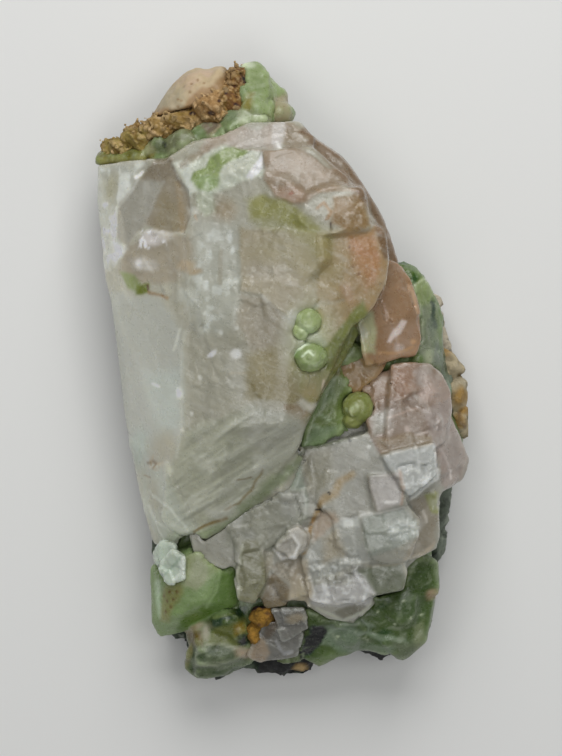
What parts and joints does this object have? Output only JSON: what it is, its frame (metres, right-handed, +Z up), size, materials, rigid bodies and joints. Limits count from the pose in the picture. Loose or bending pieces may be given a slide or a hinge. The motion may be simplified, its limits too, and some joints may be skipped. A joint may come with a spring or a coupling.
{
  "type": "calcite crystal specimen",
  "caption": "Hand-sized mineral specimen: pale calcite crystals with green prehnite lumps on dark rock, lying flat with its crystals up.",
  "frame": {"origin": "on the table, under the middle of the specimen's box", "axes": "+Y along the specimen's length towards its brown-crusted end, +Z up from the flat base to the crystals"},
  "size_m": [0.0758, 0.1266, 0.0442],
  "materials": {
    "calcite": "glassy, partly clear crystal",
    "pink_calcite": "glassy, partly clear pink crystal",
    "prehnite": "waxy green crystal crust",
    "basalt": "matte dark rock",
    "tan_crust": "matte weathered rind",
    "brown_crust": "matte fibrous crust",
    "beige_lump": "dull smooth lump",
    "limonite": "matte rusty fill"
  },
  "bodies": {
    "root": {"main_calcite": "calcite", "stepped_calcite": "calcite", "grey_calcite": "calcite", "small_calcite": "calcite", "pink_calcite": "pink_calcite", "prehnite_crust": "prehnite", "prehnite_ball_upper": "prehnite", "prehnite_ball_lower": "prehnite", "prehnite_ball_right": "prehnite", "basalt_matrix": "basalt", "tan_crust": "tan_crust", "brown_crust": "brown_crust", "beige_lump": "beige_lump", "limonite_patch": "limonite"}
  },
  "joints": []
}
